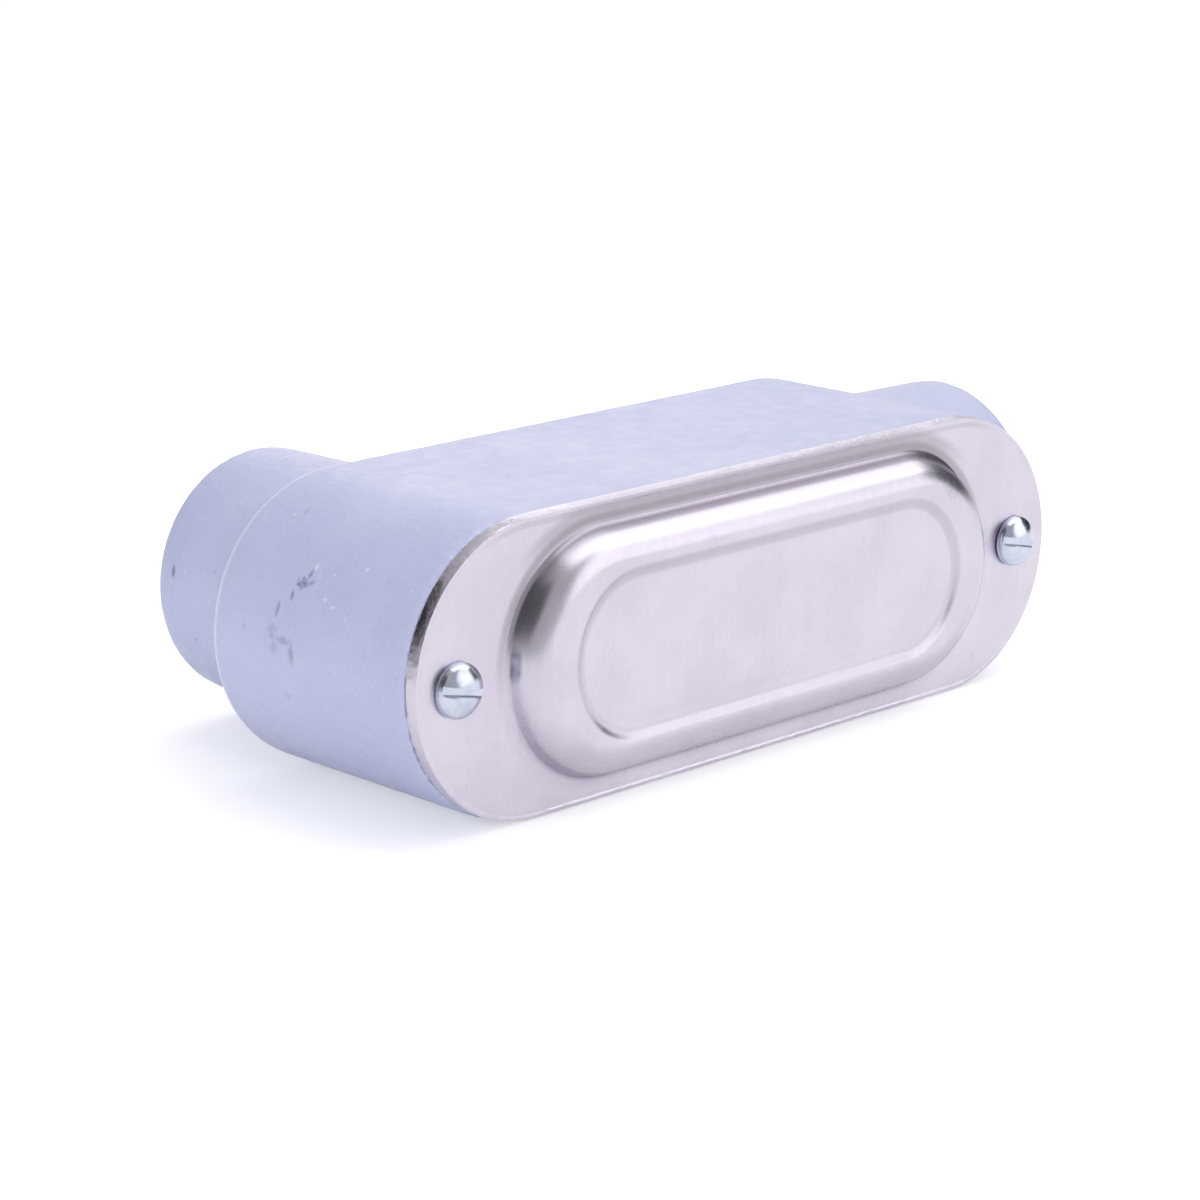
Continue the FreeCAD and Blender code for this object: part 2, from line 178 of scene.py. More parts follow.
back_hub = add_turned("back_hub", "Y", (BACK_HUB_X, BOX_DEPTH - WALL, 0), [
    (0, HUB_ROOT_RADIUS + HUB_FOOT_ROUNDING),
    (WALL + 0.1, HUB_ROOT_RADIUS + HUB_FOOT_ROUNDING),
    (WALL + 0.5, HUB_ROOT_RADIUS + 0.5),
    (WALL + HUB_FOOT_ROUNDING, HUB_ROOT_RADIUS),
] + rounded_mouth(WALL + BACK_HUB_REACH))
end_hub = add_turned(
    "end_hub", "X", (END_HUB_INNER_X, END_HUB_Y, 0),
    [(0, HUB_ROOT_RADIUS)] + rounded_mouth(END_HUB_LENGTH),
)
fairing = add_turned("fairing", "X", (END_HUB_INNER_X - FAIRING_LENGTH, END_HUB_Y, 0), [
    (0, BOX_DEPTH - END_HUB_Y - FAIRING_FADE),
    (FAIRING_LENGTH * FAIRING_SWELL_AT, BOX_DEPTH - END_HUB_Y + FAIRING_SWELL),
    (FAIRING_LENGTH, HUB_ROOT_RADIUS),
    (FAIRING_LENGTH + FAIRING_OVERLAP, HUB_ROOT_RADIUS),
])


def join(pieces):
    """Make several objects one mesh, under the first one's name."""
    bpy.ops.object.select_all(action="DESELECT")
    for piece in pieces:
        piece.select_set(True)
    bpy.context.view_layer.objects.active = pieces[0]
    bpy.ops.object.join()
    return pieces[0]


def use_modifier(piece, kind, **settings):
    """Add a modifier with its settings and apply it."""
    bpy.ops.object.select_all(action="DESELECT")
    bpy.context.view_layer.objects.active = piece
    piece.select_set(True)
    modifier = piece.modifiers.new(kind.title(), kind)
    for setting, value in settings.items():
        setattr(modifier, setting, value)
    bpy.ops.object.modifier_apply(modifier=modifier.name)


casting = join([body_block, back_hub, end_hub, fairing])
casting.name = "painted_casting"
use_modifier(casting, "REMESH", mode="VOXEL", voxel_size=0.6)
use_modifier(casting, "SMOOTH", factor=0.5, iterations=6)

sand_grain = bpy.data.textures.new("sand_grain", "CLOUDS")
sand_grain.noise_scale = 1.6
sand_grain.noise_depth = 1
use_modifier(
    casting, "DISPLACE", texture=sand_grain, texture_coords="LOCAL",
    strength=0.09, mid_level=0.5,
)

# The chamber is cored when the body is cast, round a boss for each cover screw. Behind each thread a smooth
# throat is left, which stops the conduit, and the hubs are bored and the bosses tapped after casting.
CHAMBER_ROUNDING = 1.8
CUT_MARGIN = 1
SCREW_X = 52.1
BOSS_RADIUS = 4.8
BOSS_LENGTH = 12
BOSS_TAPER = 4
BOSS_TIP_RADIUS = 0.6
THROAT_RADIUS = 10.4
THROAT_FLARE = 3.0
THROAT_STEP = 1.4
THREAD_RADIUS = 13.2
BACK_THREAD_LENGTH = 20.0
END_THREAD_LENGTH = 18.0
MOUTH_CHAMFER = 0.8
MOUTH_OVERSHOOT = 0.6
TAPPED_RADIUS = 2.1
TAPPED_DEPTH = 8.6


def cut(piece, tool):
    """Cut the shape of a solid out of a piece, and delete the solid."""
    use_modifier(piece, "BOOLEAN", object=tool, operation="DIFFERENCE", solver="EXACT")
    bpy.data.objects.remove(tool)


chamber_floor = BOX_DEPTH - WALL
chamber = add_block("chamber", BOX_LENGTH / 2 - WALL, BOX_WIDTH / 2 - WALL, -CUT_MARGIN, chamber_floor)
ease(chamber, lambda p: p.y > chamber_floor - 0.1, CHAMBER_ROUNDING, 4)
for side in (-1, 1):
    boss = add_turned("boss", "Y", (side * SCREW_X, -2 * CUT_MARGIN, 0), [
        (0, BOSS_RADIUS),
        (BOSS_LENGTH, BOSS_RADIUS),
        (BOSS_LENGTH + BOSS_TAPER, BOSS_TIP_RADIUS),
    ])
    cut(chamber, boss)
cut(casting, chamber)
for axis, start, length, thread_length in (
    ("Y", (BACK_HUB_X, chamber_floor, 0), WALL + BACK_HUB_REACH, BACK_THREAD_LENGTH),
    ("X", (END_HUB_INNER_X, END_HUB_Y, 0), END_HUB_LENGTH, END_THREAD_LENGTH),
):
    bore = add_turned("bore", axis, start, [
        (-THROAT_FLARE / 2, THROAT_RADIUS + THROAT_FLARE),
        (THROAT_FLARE / 2, THROAT_RADIUS),
        (length - thread_length - THROAT_STEP, THROAT_RADIUS),
        (length - thread_length, THREAD_RADIUS),
        (length - MOUTH_CHAMFER, THREAD_RADIUS),
        (length + MOUTH_OVERSHOOT, THREAD_RADIUS + MOUTH_CHAMFER + MOUTH_OVERSHOOT),
    ])
    cut(casting, bore)
for side in (-1, 1):
    tapped_hole = add_turned("tapped_hole", "Y", (side * SCREW_X, -CUT_MARGIN, 0), [
        (0, TAPPED_RADIUS),
        (CUT_MARGIN + TAPPED_DEPTH, TAPPED_RADIUS),
    ])
    cut(casting, tapped_hole)

# A tap cuts each thread once its hub is bored: a ridge wound round the bore, fourteen turns to the inch.
# Its crests are left flat, and it stops short of the mouth, where the bore is chamfered.
PITCH = 1.814
THREAD_CREST_RADIUS = 12.1
THREAD_ROOT_WIDTH = 1.7
THREAD_CREST_SHARE = 0.16
THREAD_RUN_OUT = 0.4
SMOOTH_ANGLE = math.radians(38)


def add_thread(name, axis, start, turns):
    """A right-handed ridge about a hub's axis, rooted in the wall of its bore."""
    bpy.ops.object.select_all(action="DESELECT")
    bpy.ops.mesh.primitive_plane_add(size=THREAD_ROOT_WIDTH, location=start)
    ridge = bpy.context.active_object
    ridge.name = name
    bpy.ops.object.mode_set(mode="EDIT")
    bpy.ops.mesh.delete(type="ONLY_FACE")
    bpy.ops.mesh.select_all(action="SELECT")
    middle_radius = THREAD_CREST_RADIUS + THREAD_ROOT_WIDTH / 2
    if axis == "X":
        shift(0, middle_radius, 0)
    else:
        shift(middle_radius, 0, 0)
    shape = bmesh.from_edit_mesh(ridge.data)
    for vertex in shape.verts:
        vertex.select = vertex.co.length < THREAD_CREST_RADIUS + 0.5
    shape.select_flush_mode()
    bmesh.update_edit_mesh(ridge.data)
    bpy.ops.transform.resize(
        value=(THREAD_CREST_SHARE, 1, 1) if axis == "X" else (1, THREAD_CREST_SHARE, 1),
    )
    bpy.ops.object.mode_set(mode="OBJECT")
    use_modifier(
        ridge, "SCREW", axis=axis, angle=2 * math.pi, screw_offset=PITCH, iterations=turns,
        steps=64, render_steps=64, use_smooth_shade=False,
    )
    bpy.ops.object.transform_apply(location=True, rotation=True, scale=True)
    bpy.ops.object.mode_set(mode="EDIT")
    bpy.ops.mesh.select_all(action="SELECT")
    bpy.ops.mesh.fill_holes(sides=4)
    bpy.ops.mesh.select_all(action="SELECT")
    bpy.ops.mesh.normals_make_consistent(inside=False)
    bpy.ops.object.mode_set(mode="OBJECT")
    return ridge


back_thread_start = BOX_DEPTH + BACK_HUB_REACH - (BACK_THREAD_LENGTH - THREAD_RUN_OUT)
end_thread_start = BOX_LENGTH / 2 + END_HUB_REACH - (END_THREAD_LENGTH - THREAD_RUN_OUT)
back_thread = add_thread("back_thread", "Y", (BACK_HUB_X, back_thread_start, 0), turns=10)
end_thread = add_thread("end_thread", "X", (end_thread_start, END_HUB_Y, 0), turns=9)
casting = join([casting, back_thread, end_thread])
bpy.ops.object.shade_smooth_by_angle(angle=SMOOTH_ANGLE)


def take_home(piece):
    """Bring a piece modelled in millimetres about the middle of the cover seat into the frame."""
    bpy.ops.object.select_all(action="DESELECT")
    bpy.context.view_layer.objects.active = piece
    piece.select_set(True)
    piece.location = SEAT_MIDDLE
    piece.scale = (MM, MM, MM)
    bpy.ops.object.transform_apply(location=True, rotation=True, scale=True)


take_home(casting)


def new_material(name, base, metallic, roughness):
    """A material with its shader, its node tree and the piece's own coordinates."""
    material = bpy.data.materials.new(name)
    material.use_nodes = True
    tree = material.node_tree
    shader = tree.nodes["Principled BSDF"]
    shader.inputs["Base Color"].default_value = (*base, 1)
    shader.inputs["Metallic"].default_value = metallic
    shader.inputs["Roughness"].default_value = roughness
    coordinates = tree.nodes.new("ShaderNodeTexCoord").outputs["Object"]
    return material, tree, shader, coordinates


def add_noise(tree, coordinates, grain, detail=3.0, stretch=(1, 1, 1), centre=(0, 0, 0)):
    """Noise whose patches are about one grain long, in millimetres, before they are stretched."""
    mapping = tree.nodes.new("ShaderNodeMapping")
    mapping.inputs["Location"].default_value = centre
    mapping.inputs["Scale"].default_value = [1 / (grain * MM * side) for side in stretch]
    tree.links.new(coordinates, mapping.inputs["Vector"])
    noise = tree.nodes.new("ShaderNodeTexNoise")
    noise.inputs["Scale"].default_value = 1.0
    noise.inputs["Detail"].default_value = detail
    tree.links.new(mapping.outputs["Vector"], noise.inputs["Vector"])
    return noise.outputs["Fac"]


def add_range(tree, value, low, high, to_low, to_high):
    """A value carried smoothly from one range to another."""
    step = tree.nodes.new("ShaderNodeMapRange")
    step.interpolation_type = "SMOOTHSTEP"
    for socket, number in zip(("From Min", "From Max", "To Min", "To Max"), (low, high, to_low, to_high)):
        step.inputs[socket].default_value = number
    tree.links.new(value, step.inputs["Value"])
    return step.outputs["Result"]


def add_mix(tree, share, first, second):
    """Two colours mixed by a share."""
    mix = tree.nodes.new("ShaderNodeMix")
    mix.data_type = "RGBA"
    tree.links.new(share, mix.inputs["Factor"])
    for socket, colour in ((mix.inputs["A"], first), (mix.inputs["B"], second)):
        if isinstance(colour, tuple):
            socket.default_value = (*colour, 1)
        else:
            tree.links.new(colour, socket)
    return mix.outputs["Result"]


def add_maths(tree, operation, first, second=0):
    """One step of arithmetic on two values or sockets."""
    step = tree.nodes.new("ShaderNodeMath")
    step.operation = operation
    for socket, value in zip(step.inputs, (first, second)):
        if isinstance(value, (int, float)):
            socket.default_value = value
        else:
            tree.links.new(value, socket)
    return step.outputs["Value"]


def add_mark(tree, coordinates, place, reach, ragged, strength):
    """The share of a ragged mark round a place in millimetres from the middle of the cover seat."""
    middle = SEAT_MIDDLE + Vector(place) * MM
    mapping = tree.nodes.new("ShaderNodeMapping")
    mapping.inputs["Scale"].default_value = [1 / (side * MM) for side in reach]
    mapping.inputs["Location"].default_value = [-at / (side * MM) for at, side in zip(middle, reach)]
    tree.links.new(coordinates, mapping.inputs["Vector"])
    distance = tree.nodes.new("ShaderNodeVectorMath")
    distance.operation = "LENGTH"
    tree.links.new(mapping.outputs["Vector"], distance.inputs[0])
    breaks = add_range(tree, add_noise(tree, coordinates, 0.8, 2.0, centre=place), 0.3, 0.7, 0, ragged)
    edge = add_maths(tree, "ADD", distance.outputs["Value"], breaks)
    return add_range(tree, edge, 0.35, 1.0, strength, 0)


def add_bump(tree, height, depth, below=None):
    """Relief of a depth in millimetres, laid over any relief below it."""
    bump = tree.nodes.new("ShaderNodeBump")
    bump.inputs["Distance"].default_value = depth * MM
    tree.links.new(height, bump.inputs["Height"])
    if below:
        tree.links.new(below, bump.inputs["Normal"])
    return bump.outputs["Normal"]


PAINT = (0.62, 0.66, 0.84)
PAINT_DEEPER = (0.55, 0.575, 0.77)
PAINT_PALER = (0.60, 0.615, 0.80)
PAINT_SPECKLE = (0.71, 0.725, 0.86)
PAINT_HOLLOW = (0.45, 0.48, 0.66)
PAINT_NICK = (0.78, 0.80, 0.93)
PAINT_CHIPPED = (0.20, 0.21, 0.33)
PAINT_EDGE_HIGHLIGHT = (0.80, 0.83, 0.99)
# A painted highlight along the back edge of the left end: its depth, its width and how far along the body it
# reaches.
EDGE_HIGHLIGHT_DEPTH = BOX_DEPTH - 0.85
EDGE_HIGHLIGHT_INNER = 0.25
EDGE_HIGHLIGHT_OUTER = 0.6
EDGE_HIGHLIGHT_FULL_X = -42
EDGE_HIGHLIGHT_END_X = -30

paint, tree, shader, coordinates = new_material("cast_paint", PAINT, 0.0, 0.42)
drift = add_range(tree, add_noise(tree, coordinates, 22, 2.0), 0.35, 0.65, 0, 1)
colour = add_mix(tree, drift, PAINT_DEEPER, PAINT_PALER)
speckle = add_range(tree, add_noise(tree, coordinates, 0.7, 3.0), 0.60, 0.75, 0, 0.5)
colour = add_mix(tree, speckle, colour, PAINT_SPECKLE)
shade = add_range(tree, add_noise(tree, coordinates, 0.9, 3.0, centre=(5, 3, 1)), 0.62, 0.76, 0, 0.5)
colour = add_mix(tree, shade, colour, PAINT_HOLLOW)
for place, reach, ragged, strength in (
    ((-55.0, 20.4, 11.7), (3, 0.5, 0.5), 0.2, 0.9),
    ((-57.0, 16.6, 8.6), (3, 0.5, 0.4), 0.2, 0.7),
    ((-57.2, 14.8, 8.0), (3, 0.5, 0.3), 0.2, 0.8),
    ((-54.2, 11.8, 12.8), (3, 0.8, 0.4), 0.4, 0.7),
    ((-55.3, 16.7, 11.4), (3, 0.4, 0.3), 0.3, 0.6),
    ((-57.7, 12.1, 7.1), (3, 0.3, 0.7), 0.3, 0.5),
    ((-51.0, 30.0, 16.0), (3, 0.7, 0.3), 0.3, 0.6),
):
    mark = add_mark(tree, coordinates, place, reach, ragged, strength)
    colour = add_mix(tree, mark, colour, PAINT_NICK)
for place, reach, ragged, strength in (
    ((-49.3, 57.7, 3.1), (3, 0.7, 1.3), 0.25, 0.85),
    ((-55.9, 20.9, 11.0), (3, 0.7, 0.9), 0.5, 0.6),
    ((-56.5, 21.6, 9.7), (3, 1.6, 1.4), 0.6, 0.85),
    ((-55.9, 20.0, 10.0), (3, 1.0, 0.6), 0.5, 0.6),
    ((-57.3, 22.7, 8.1), (3, 0.55, 1.1), 0.3, 0.7),
    ((-58.0, 24.7, 6.1), (3, 0.5, 1.5), 0.3, 0.55),
    ((-58.6, 25.2, 3.4), (3, 1.9, 1.7), 0.4, 0.3),
    ((-58.9, 22.8, 2.6), (3, 2.4, 0.8), 0.3, 0.4),
    ((-59.0, 21.2, 1.1), (3, 1.0, 2.2), 0.3, 0.45),
    ((-59.0, 24.6, 1.4), (3, 1.3, 1.4), 0.4, 0.3),
    ((-58.7, 30.6, 3.0), (3, 0.9, 1.0), 0.4, 0.14),
    ((-49.8, 28.6, 16.5), (2, 0.5, 0.5), 0.4, 0.4),
    ((-58.4, 22.6, -4.6), (3, 0.9, 0.7), 0.4, 0.25),
    ((-36.3, 25.8, 19.4), (0.7, 1.1, 2), 0.5, 0.4),
    ((-38.2, 22.1, 19.4), (0.5, 0.7, 2), 0.4, 0.35),
    ((-26.9, 16.0, 19.4), (0.4, 0.5, 2), 0.3, 0.3),
    ((-34.1, 52.0, 16.9), (1.0, 0.5, 3), 0.4, 0.3),
    ((-48.9, 49.1, 4.8), (3, 0.5, 0.7), 0.4, 0.2),
    ((-48.7, 54.0, -5.5), (3, 0.5, 0.5), 0.3, 0.35),
):
    mark = add_mark(tree, coordinates, place, reach, ragged, strength)
    colour = add_mix(tree, mark, colour, PAINT_CHIPPED)
# Painted highlight: the edge where the left end turns into the back is painted paler, where a rounded edge
# would catch the light.
edge = tree.nodes.new("ShaderNodeSeparateXYZ")
tree.links.new(coordinates, edge.inputs["Vector"])
back_edge = SEAT_MIDDLE.y + EDGE_HIGHLIGHT_DEPTH * MM
away = add_maths(tree, "ABSOLUTE", add_maths(tree, "SUBTRACT", edge.outputs["Y"], back_edge))
edge_highlight = add_maths(
    tree, "MULTIPLY",
    add_range(tree, away, EDGE_HIGHLIGHT_INNER * MM, EDGE_HIGHLIGHT_OUTER * MM, 0.7, 0),
    add_range(
        tree, edge.outputs["X"],
        SEAT_MIDDLE.x + EDGE_HIGHLIGHT_FULL_X * MM, SEAT_MIDDLE.x + EDGE_HIGHLIGHT_END_X * MM, 1, 0,
    ),
)
colour = add_mix(tree, edge_highlight, colour, PAINT_EDGE_HIGHLIGHT)
tree.links.new(colour, shader.inputs["Base Color"])
roughness = add_range(tree, add_noise(tree, coordinates, 3.0, 3.0), 0.3, 0.7, 0.34, 0.5)
tree.links.new(roughness, shader.inputs["Roughness"])
relief = add_bump(tree, add_noise(tree, coordinates, 1.3, 2.0), 0.11)
relief = add_bump(tree, add_noise(tree, coordinates, 0.9, 2.0, stretch=(7, 1, 1)), 0.04, relief)
relief = add_bump(tree, add_noise(tree, coordinates, 0.35, 2.0), 0.05, relief)
tree.links.new(relief, shader.inputs["Normal"])
casting.data.materials.clear()
casting.data.materials.append(paint)
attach(casting, "root")
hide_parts("body_casting")

# The cover is pressed from one sheet of steel: a flat rim, a raised dome and a panel sunk in the dome.
# Its edge is slightly rounded by the blanking die, and both screw holes lie under the screw heads.
COVER_HALF_LENGTH = 58.6
COVER_HALF_WIDTH = 19.2
RIM_DIP = 0.18
SHEET = 1.9
DOME_HALF_LENGTH = 43.95
DOME_HALF_WIDTH = 16.2
DOME_HEIGHT = 4.2
DOME_WALL_ANGLE = math.radians(70)
CREASE_RADIUS = 0.9
SHOULDER_RADIUS = 4.0
PANEL_SIDE_RIM = 4.7
PANEL_SQUASH = 0.923
CREASE_STEPS = 6
SHOULDER_STEPS = 10
SHORTEST_STRAIGHT = 10
COVER_HOLE_RADIUS = 2.4
COVER_HOLE_CUT = 8
PANEL_STEP = [(0, 0), (0.35, -0.06), (0.7, -0.2), (1.05, -0.37), (1.4, -0.47), (1.75, -0.5)]
PANEL_FLOOR = [
    (0, 0), (1.0, 0), (1.5, 0.05), (2.0, 0.07), (3.0, 0.08), (4.5, 0.08), (6.0, 0.08), (7.5, 0.08),
]
STEEL = (0.68, 0.64, 0.71)
STEEL_DULLER = (0.635, 0.595, 0.675)
STEEL_BRIGHTER = (0.685, 0.645, 0.72)
ROLLING_LINE = (0.60, 0.56, 0.63)
# Painted shade for the cover's creases and bands.
COVER_PAINTED_SHADE = (0.30, 0.27, 0.31)
COVER_SMUDGE_AND_REFLECTION = (0.22, 0.20, 0.28)


def add_ring(name, half_length, half_width, depth):
    """A round-ended ring of edges, whose straight sides are divided evenly."""
    bpy.ops.object.select_all(action="DESELECT")
    bpy.ops.mesh.primitive_circle_add(
        vertices=ARC_STEPS,
        radius=half_width,
        fill_type="NOTHING",
        location=(0, depth, 0),
        rotation=(math.pi / 2, math.pi / ARC_STEPS, 0),
    )
    ring = settle(name)
    pull_ends_apart(ring, half_length - half_width)
    bpy.ops.object.mode_set(mode="EDIT")
    bpy.ops.mesh.select_mode(type="EDGE")
    shape = bmesh.from_edit_mesh(ring.data)
    for edge in shape.edges:
        edge.select_set(edge.calc_length() > SHORTEST_STRAIGHT)
    bmesh.update_edit_mesh(ring.data)
    bpy.ops.mesh.subdivide(number_cuts=47)
    bpy.ops.object.mode_set(mode="OBJECT")
    return ring


def press(profile):
    """Step the selected face inwards and forwards through (inset, height) pairs."""
    for (inset, height), (next_inset, next_height) in zip(profile, profile[1:]):
        bpy.ops.mesh.inset(thickness=next_inset - inset, use_even_offset=True)
        shift(0, height - next_height, 0)


crease_inset = CREASE_RADIUS * math.tan(DOME_WALL_ANGLE / 2)
foot_half_length = DOME_HALF_LENGTH + crease_inset
foot_half_width = DOME_HALF_WIDTH + crease_inset
outline_ring = add_ring("cover", COVER_HALF_LENGTH, COVER_HALF_WIDTH, -SHEET)
foot_ring = add_ring("dome_foot", foot_half_length, foot_half_width, -SHEET + RIM_DIP)
cover = join([outline_ring, foot_ring])
cover.name = "pressed_cover"
bpy.ops.object.mode_set(mode="EDIT")
bpy.ops.mesh.select_mode(type="EDGE")
bpy.ops.mesh.select_all(action="SELECT")
bpy.ops.mesh.bridge_edge_loops(number_cuts=3, interpolation="LINEAR")
pick(cover, lambda p: math.hypot(
    max(abs(p.x) - foot_half_length + foot_half_width, 0), p.z,
) < foot_half_width + 0.01)
bpy.ops.mesh.edge_face_add()
bpy.ops.mesh.select_mode(type="FACE")
crease = []
for step in range(CREASE_STEPS + 1):
    angle = DOME_WALL_ANGLE * step / CREASE_STEPS
    dip = RIM_DIP * (1 - step / CREASE_STEPS)
    crease.append((CREASE_RADIUS * math.sin(angle), CREASE_RADIUS * (1 - math.cos(angle)) - dip))
shoulder_inset = crease_inset + DOME_HEIGHT / math.tan(DOME_WALL_ANGLE)
shoulder_inset += SHOULDER_RADIUS * math.tan(DOME_WALL_ANGLE / 2)
shoulder = []
for step in range(SHOULDER_STEPS, -1, -1):
    angle = DOME_WALL_ANGLE * step / SHOULDER_STEPS
    height = DOME_HEIGHT - SHOULDER_RADIUS * (1 - math.cos(angle))
    shoulder.append((shoulder_inset - SHOULDER_RADIUS * math.sin(angle), height))
press(crease + shoulder)
panel_inset = crease_inset + PANEL_SIDE_RIM
press([(shoulder_inset, DOME_HEIGHT), (panel_inset, DOME_HEIGHT)])
bpy.ops.transform.resize(value=(PANEL_SQUASH, 1, 1))
press(PANEL_STEP)
press(PANEL_FLOOR)
bpy.ops.mesh.select_all(action="SELECT")
bpy.ops.mesh.normals_make_consistent(inside=False)
bpy.ops.object.mode_set(mode="OBJECT")
front_faces = sum(polygon.normal.y < 0 for polygon in cover.data.polygons)
if front_faces < len(cover.data.polygons) / 2:
    bpy.ops.object.mode_set(mode="EDIT")
    bpy.ops.mesh.select_all(action="SELECT")
    bpy.ops.mesh.flip_normals()
    bpy.ops.object.mode_set(mode="OBJECT")

pressing_waves = bpy.data.textures.new("pressing_waves", "CLOUDS")
pressing_waves.noise_scale = 16
pressing_waves.noise_depth = 1
use_modifier(
    cover, "DISPLACE", texture=pressing_waves, texture_coords="LOCAL", direction="Y",
    strength=0.12, mid_level=0.5,
)
use_modifier(cover, "SOLIDIFY", thickness=SHEET, offset=-1, use_even_offset=True)
use_modifier(
    cover, "BEVEL", width=0.6, segments=4, limit_method="ANGLE", angle_limit=math.radians(50),
)
for side in (-1, 1):
    hole = add_turned("hole", "Y", (side * SCREW_X, -COVER_HOLE_CUT / 2, 0), [
        (0, COVER_HOLE_RADIUS),
        (COVER_HOLE_CUT, COVER_HOLE_RADIUS),
    ])
    cut(cover, hole)
bpy.ops.object.shade_smooth_by_angle(angle=SMOOTH_ANGLE)
take_home(cover)


def add_place(tree, coordinates):
    """X, Y and Z in millimetres from the middle of the cover seat."""
    mapping = tree.nodes.new("ShaderNodeMapping")
    mapping.inputs["Scale"].default_value = [1 / MM] * 3
    mapping.inputs["Location"].default_value = -SEAT_MIDDLE / MM
    tree.links.new(coordinates, mapping.inputs["Vector"])
    place = tree.nodes.new("ShaderNodeSeparateXYZ")
    tree.links.new(mapping.outputs["Vector"], place.inputs["Vector"])
    return place.outputs


def add_distance(tree, coordinates, half_length, half_width):
    """How far outside a round-ended outline a place on the cover lies, and how high, in millimetres."""
    place = add_place(tree, coordinates)
    along = add_maths(tree, "ABSOLUTE", place["X"])
    along = add_maths(tree, "MAXIMUM", add_maths(tree, "SUBTRACT", along, half_length - half_width), 0)
    squares = add_maths(
        tree, "ADD",
        add_maths(tree, "MULTIPLY", along, along),
        add_maths(tree, "MULTIPLY", place["Z"], place["Z"]),
    )
    radius = add_maths(tree, "POWER", squares, 0.5)
    return add_maths(tree, "SUBTRACT", radius, half_width), place["Z"]


steel, tree, shader, coordinates = new_material("pressed_steel", STEEL, 1.0, 0.25)
rolling = add_noise(tree, coordinates, 0.9, 1.0, stretch=(1, 1, 12))
cloud = add_noise(tree, coordinates, 9.0, 3.0)
roughness = add_maths(
    tree, "ADD",
    add_range(tree, rolling, 0.35, 0.65, 0.0, 0.03),
    add_range(tree, cloud, 0.3, 0.7, 0.23, 0.30),
)
tree.links.new(roughness, shader.inputs["Roughness"])
colour = add_mix(tree, add_range(tree, cloud, 0.35, 0.65, 0, 1), STEEL_DULLER, STEEL_BRIGHTER)
colour = add_mix(tree, add_range(tree, rolling, 0.3, 0.7, 0, 0.12), colour, ROLLING_LINE)
outside_dome, height = add_distance(tree, coordinates, DOME_HALF_LENGTH, DOME_HALF_WIDTH)
outside_panel, _ = add_distance(
    tree, coordinates, (DOME_HALF_LENGTH - PANEL_SIDE_RIM) * PANEL_SQUASH, DOME_HALF_WIDTH - PANEL_SIDE_RIM,
)
outside_cover, _ = add_distance(tree, coordinates, COVER_HALF_LENGTH, COVER_HALF_WIDTH)
# Painted shade and painted dark reflections: darker bands inside the cover's top edge, in the dome's crease,
# on the rim above the dome, low on the dome and round the sunk panel, each growing or fading with height.
for outside, middle, reach, low_share, high_share, low_place, high_place in (
    (outside_cover, -0.9, 0.5, 0.0, 0.25, 16, 18.4),
    (outside_dome, 0.5, 1.5, 0.05, 0.62, -6, 13),
    (outside_dome, 1.2, 2.6, 0.0, 0.46, 12, 17),
    (outside_dome, -2.4, 3.0, 0.24, 0.0, -12, -4),
    (outside_panel, -1.0, 1.1, 0.16, 0.32, -6, 11),
):
    away = add_maths(tree, "ABSOLUTE", add_maths(tree, "SUBTRACT", outside, middle))
    near = add_range(tree, away, reach * 0.4, reach, 1, 0)
    rising = add_range(tree, height, low_place, high_place, low_share, high_share)
    colour = add_mix(tree, add_maths(tree, "MULTIPLY", near, rising), colour, COVER_PAINTED_SHADE)
# Two smudges low on the left and at the right end, and at the upper right of the dome a painted dark
# reflection.
for place, reach, ragged, strength in (
    ((-42.5, -5.0, -6.6), (1.9, 3, 1.7), 0.8, 0.35),
    ((41.5, -4.5, 1.7), (1.2, 3, 0.7), 0.6, 0.35),
    ((35.0, -5.5, 11.6), (3.4, 3, 2.8), 0.2, 0.3),
):
    mark = add_mark(tree, coordinates, place, reach, ragged, strength)
    colour = add_mix(tree, mark, colour, COVER_SMUDGE_AND_REFLECTION)
tree.links.new(colour, shader.inputs["Base Color"])
relief = add_bump(tree, add_noise(tree, coordinates, 5.0, 1.0), 0.01)
torn = add_maths(
    tree, "MULTIPLY",
    add_noise(tree, coordinates, 1.4, 2.0),
    add_range(tree, outside_cover, -0.75, -0.3, 0, 1),
)
relief = add_bump(tree, torn, 0.12, relief)
tree.links.new(relief, shader.inputs["Normal"])
cover.data.materials.clear()
cover.data.materials.append(steel)
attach(cover, "root")
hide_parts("cover")

# Two round-headed slotted screws, headed and rolled from wire and zinc plated, hold the cover down.
# Each head is turned to the angle at which the photograph shows its slot.
HEAD_RADIUS = 3.55
HEAD_HEIGHT = 2.3
HEAD_EDGE = 0.4
SLOT_TURN = math.radians(13)
SLOT_DEPTH = 1.2
SLOT_WIDTH = 1.1
SHANK_RADIUS = 2.05
SHANK_LENGTH = 9.5
SHANK_CHAMFER = 0.5
HEAD_STEPS = 16
HEAD_UNDER_ROUNDING = 0.15
ZINC = (0.72, 0.76, 0.82)
ZINC_DULLER = (0.55, 0.60, 0.71)
ZINC_BRIGHTER = (0.65, 0.68, 0.76)
SLOT_PAINTED_SHADE = (0.10, 0.11, 0.15)

zinc, tree, shader, coordinates = new_material("screw_zinc", ZINC, 1.0, 0.26)
grain = add_noise(tree, coordinates, 0.35, 3.0)
tree.links.new(add_range(tree, grain, 0.3, 0.7, 0.14, 0.24), shader.inputs["Roughness"])
tone = add_range(tree, add_noise(tree, coordinates, 1.6, 2.0), 0.35, 0.65, 0, 1)
colour = add_mix(tree, tone, ZINC_DULLER, ZINC_BRIGHTER)
